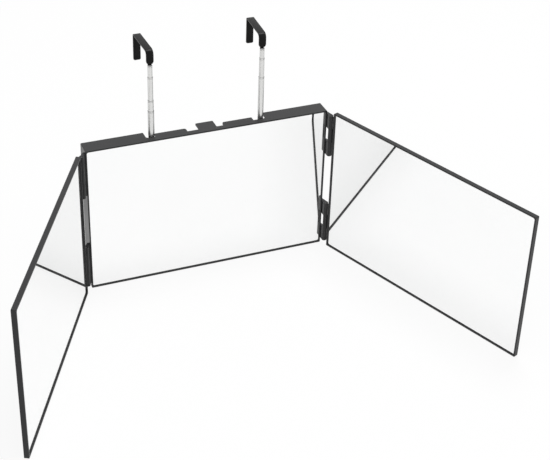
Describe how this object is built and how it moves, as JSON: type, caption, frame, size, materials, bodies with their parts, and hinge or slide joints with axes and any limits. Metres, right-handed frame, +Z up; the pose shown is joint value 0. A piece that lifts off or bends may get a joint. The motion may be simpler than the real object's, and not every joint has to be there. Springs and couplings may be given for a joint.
{
  "type": "trifold vanity mirror",
  "caption": "Trifold framed vanity mirror with hinged side wings that fold over the centre, telescopic chromed arms and swivelling over-the-door hooks; stands on a table or hangs.",
  "frame": {"origin": "middle of the centre panel's bottom face, on the surface it stands on", "axes": "+X to the right as the user faces the mirror, +Y away from the user, +Z up; wings at their pictured standing angles"},
  "size_m": [0.7068, 0.4371, 0.372],
  "materials": {
    "frame_plastic": "satin, lightly textured dark grey moulding",
    "mirror_glass": "clean silvered flat glass",
    "foam_pad": "white double-sided foam sheet",
    "tube_chrome": "bright plated drawn tube",
    "guide_steel": "drawn tube",
    "hook_black": "black painted steel strap",
    "pin_steel": "plain steel"
  },
  "bodies": {
    "centre": {"centre_frame": "frame_plastic", "centre_glass": "mirror_glass", "centre_pad": "foam_pad", "centre_shell": "frame_plastic", "back_cover": "frame_plastic", "cover_screws": "pin_steel", "left_guide_tube": "guide_steel", "right_guide_tube": "guide_steel", "left_lower_pin": "pin_steel", "left_upper_pin": "pin_steel", "right_lower_pin": "pin_steel", "right_upper_pin": "pin_steel"},
    "left_wing": {"left_wing_frame": "frame_plastic", "left_wing_glass": "mirror_glass", "left_wing_pad": "foam_pad"},
    "right_wing": {"right_wing_frame": "frame_plastic", "right_wing_glass": "mirror_glass", "right_wing_pad": "foam_pad"},
    "left_tube_1": {"left_tube_1": "tube_chrome"},
    "left_tube_2": {"left_tube_2": "tube_chrome"},
    "left_tube_3": {"left_tube_3": "tube_chrome"},
    "left_tube_4": {"left_tube_4": "tube_chrome"},
    "left_hook": {"left_hook": "hook_black", "left_hook_stem": "hook_black", "left_hook_rivet": "pin_steel"},
    "right_tube_1": {"right_tube_1": "tube_chrome"},
    "right_tube_2": {"right_tube_2": "tube_chrome"},
    "right_tube_3": {"right_tube_3": "tube_chrome"},
    "right_tube_4": {"right_tube_4": "tube_chrome"},
    "right_hook": {"right_hook": "hook_black", "right_hook_stem": "hook_black", "right_hook_rivet": "pin_steel"}
  },
  "joints": [
    {"name": "left_wing_hinge", "type": "hinge", "parent": "centre", "child": "left_wing", "pos_m": [-0.19325, -0.0169, 0.118], "axis": [0, 0, 1], "range_deg": [-62.44, 117.86]},
    {"name": "right_wing_hinge", "type": "hinge", "parent": "centre", "child": "right_wing", "pos_m": [0.18965, -0.0213, 0.118], "axis": [0, 0, -1], "range_deg": [-68.48, 111.22]},
    {"name": "left_slide_1", "type": "slide", "parent": "centre", "child": "left_tube_1", "axis": [0, 0, 1], "range_m": [-0.0723, 0.0804]},
    {"name": "left_slide_2", "type": "slide", "parent": "left_tube_1", "child": "left_tube_2", "axis": [0, 0, 1], "range_m": [-0.0149, 0.1381]},
    {"name": "left_slide_3", "type": "slide", "parent": "left_tube_2", "child": "left_tube_3", "axis": [0, 0, 1], "range_m": [-0.0347, 0.1183]},
    {"name": "left_slide_4", "type": "slide", "parent": "left_tube_3", "child": "left_tube_4", "axis": [0, 0, 1], "range_m": [-0.0158, 0.1371]},
    {"name": "left_hook_swivel", "type": "hinge", "parent": "left_tube_4", "child": "left_hook", "pos_m": [-0.0844, 0.0012, 0.349], "axis": [0, 0, 1], "range_deg": [-60, 300]},
    {"name": "right_slide_1", "type": "slide", "parent": "centre", "child": "right_tube_1", "axis": [0, 0, 1], "range_m": [0, 0.1527]},
    {"name": "right_slide_2", "type": "slide", "parent": "right_tube_1", "child": "right_tube_2", "axis": [0, 0, 1], "range_m": [-0.0967, 0.0563]},
    {"name": "right_slide_3", "type": "slide", "parent": "right_tube_2", "child": "right_tube_3", "axis": [0, 0, 1], "range_m": [-0.0281, 0.1249]},
    {"name": "right_slide_4", "type": "slide", "parent": "right_tube_3", "child": "right_tube_4", "axis": [0, 0, 1], "range_m": [-0.013, 0.1401]},
    {"name": "right_hook_swivel", "type": "hinge", "parent": "right_tube_4", "child": "right_hook", "pos_m": [0.0844, 0.0012, 0.349], "axis": [0, 0, -1], "range_deg": [-60, 300]}
  ]
}
